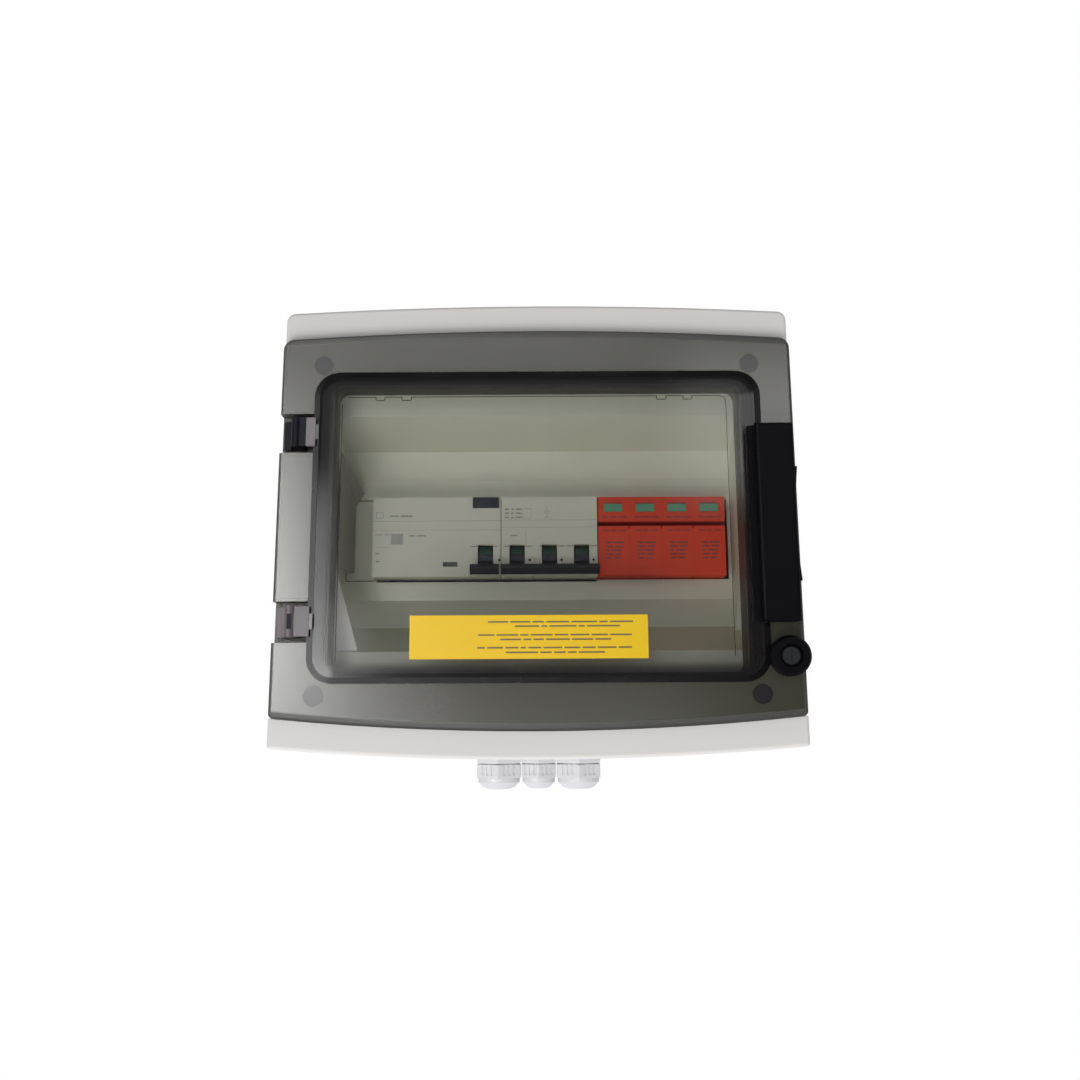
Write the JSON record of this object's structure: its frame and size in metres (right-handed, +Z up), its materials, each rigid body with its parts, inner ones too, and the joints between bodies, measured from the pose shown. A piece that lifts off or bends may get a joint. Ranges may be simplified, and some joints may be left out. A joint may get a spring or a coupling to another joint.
{
  "type": "solar ac distribution board",
  "caption": "Surface-mounted plastic distribution board with a hinged smoked door over a rail of residual current, breaker and surge arrester modules, and cable glands below.",
  "frame": {"origin": "centre of the four wall screw holes, on the back face that meets the wall", "axes": "+X to the right seen from the front, +Y back into the wall, +Z up"},
  "size_m": [0.279, 0.13, 0.2635],
  "materials": {
    "white_plastic": "smooth moulded white plastic",
    "smoked_frame": "translucent smoked plastic",
    "smoked_door": "clear smoked plastic, glossy",
    "black_rubber": "soft black seal",
    "plated_screw": "zinc plated",
    "plated_steel": "zinc plated",
    "black_plastic": "satin black plastic",
    "dial_metal": "dull nickel",
    "panel_grey": "satin light grey plastic",
    "device_grey": "satin light grey plastic",
    "lever_black": "satin black plastic",
    "indicator_dark": "dark window",
    "arrester_base": "satin red plastic",
    "arrester_red": "satin red plastic",
    "indicator_green": "green window",
    "gland_nylon": "light grey nylon",
    "brass": "plain brass"
  },
  "bodies": {
    "enclosure": {"back_box": "white_plastic", "bar_holders": "white_plastic", "bar_screws": "plated_screw", "blank_filler": "panel_grey", "cover_gasket": "black_rubber", "cover_screws": "plated_screw", "din_rail": "plated_steel", "earth_bar": "brass", "front_cover": "smoked_frame", "gland_body_left": "gland_nylon", "gland_body_middle": "gland_nylon", "gland_body_right": "gland_nylon", "gland_locknuts": "gland_nylon", "gland_nut_left": "gland_nylon", "gland_nut_middle": "gland_nylon", "gland_nut_right": "gland_nylon", "gland_seals": "black_rubber", "hinge_block_lower": "black_plastic", "hinge_block_upper": "black_plastic", "hinge_pin_lower": "plated_steel", "hinge_pin_upper": "plated_steel", "inner_panel": "panel_grey", "lock_housing": "black_plastic", "mcb_housing_1": "device_grey", "mcb_housing_2": "device_grey", "mcb_housing_3": "device_grey", "mcb_terminal_screws": "plated_screw", "neutral_bar": "brass", "panel_screws": "plated_screw", "rail_screws": "plated_screw", "rcd_housing": "device_grey", "rcd_indicator": "indicator_dark", "rcd_terminal_screws": "plated_screw", "screw_caps": "smoked_frame", "spd_base": "arrester_base", "spd_cartridge_1": "arrester_red", "spd_cartridge_2": "arrester_red", "spd_cartridge_3": "arrester_red", "spd_cartridge_4": "arrester_red", "spd_indicators": "indicator_green", "spd_terminal_screws": "plated_screw"},
    "door": {"door": "smoked_door", "door_gasket": "black_rubber", "handle_bracket": "black_plastic", "handle_pin": "plated_steel"},
    "handle": {"door_handle": "black_plastic"},
    "lock": {"lock_barrel": "dial_metal", "lock_cam": "plated_steel", "lock_cam_screw": "plated_screw"},
    "rcd_lever": {"rcd_toggle": "lever_black"},
    "rcd_button": {"rcd_test_button": "lever_black"},
    "mcb_levers": {"mcb_toggle_1": "lever_black", "mcb_toggle_2": "lever_black", "mcb_toggle_3": "lever_black", "mcb_tie_bar": "lever_black"},
    "rcd_clip": {"rcd_rail_clip": "device_grey"},
    "mcb_clip": {"mcb_rail_clip": "device_grey"},
    "spd_clip": {"spd_rail_clip": "device_grey"}
  },
  "joints": [
    {"name": "door_hinge", "type": "hinge", "parent": "enclosure", "child": "door", "pos_m": [-0.128, -0.1196, 0], "axis": [0, 0, -1], "range_deg": [0, 170]},
    {"name": "handle_pivot", "type": "hinge", "parent": "door", "child": "handle", "pos_m": [0.1165, -0.126, 0], "axis": [0, 0, -1], "range_deg": [0, 30]},
    {"name": "lock_turn", "type": "hinge", "parent": "enclosure", "child": "lock", "pos_m": [0.129, -0.118, -0.0694], "axis": [0, 1, 0], "range_deg": [0, 90]},
    {"name": "rcd_lever_turn", "type": "hinge", "parent": "enclosure", "child": "rcd_lever", "pos_m": [-0.0291, -0.076, -0.0115], "axis": [-1, 0, 0], "range_deg": [0, 60]},
    {"name": "mcb_lever_turn", "type": "hinge", "parent": "enclosure", "child": "mcb_levers", "pos_m": [0.0066, -0.076, -0.0115], "axis": [-1, 0, 0], "range_deg": [0, 60]},
    {"name": "test_button_press", "type": "slide", "parent": "enclosure", "child": "rcd_button", "axis": [0, 1, 0], "range_m": [0, 0.0015], "stiffness_N_per_m": 800},
    {"name": "rcd_clip_slide", "type": "slide", "parent": "enclosure", "child": "rcd_clip", "axis": [0, 0, -1], "range_m": [0, 0.003], "stiffness_N_per_m": 600},
    {"name": "mcb_clip_slide", "type": "slide", "parent": "enclosure", "child": "mcb_clip", "axis": [0, 0, -1], "range_m": [0, 0.003], "stiffness_N_per_m": 600},
    {"name": "spd_clip_slide", "type": "slide", "parent": "enclosure", "child": "spd_clip", "axis": [0, 0, -1], "range_m": [0, 0.003], "stiffness_N_per_m": 600}
  ]
}
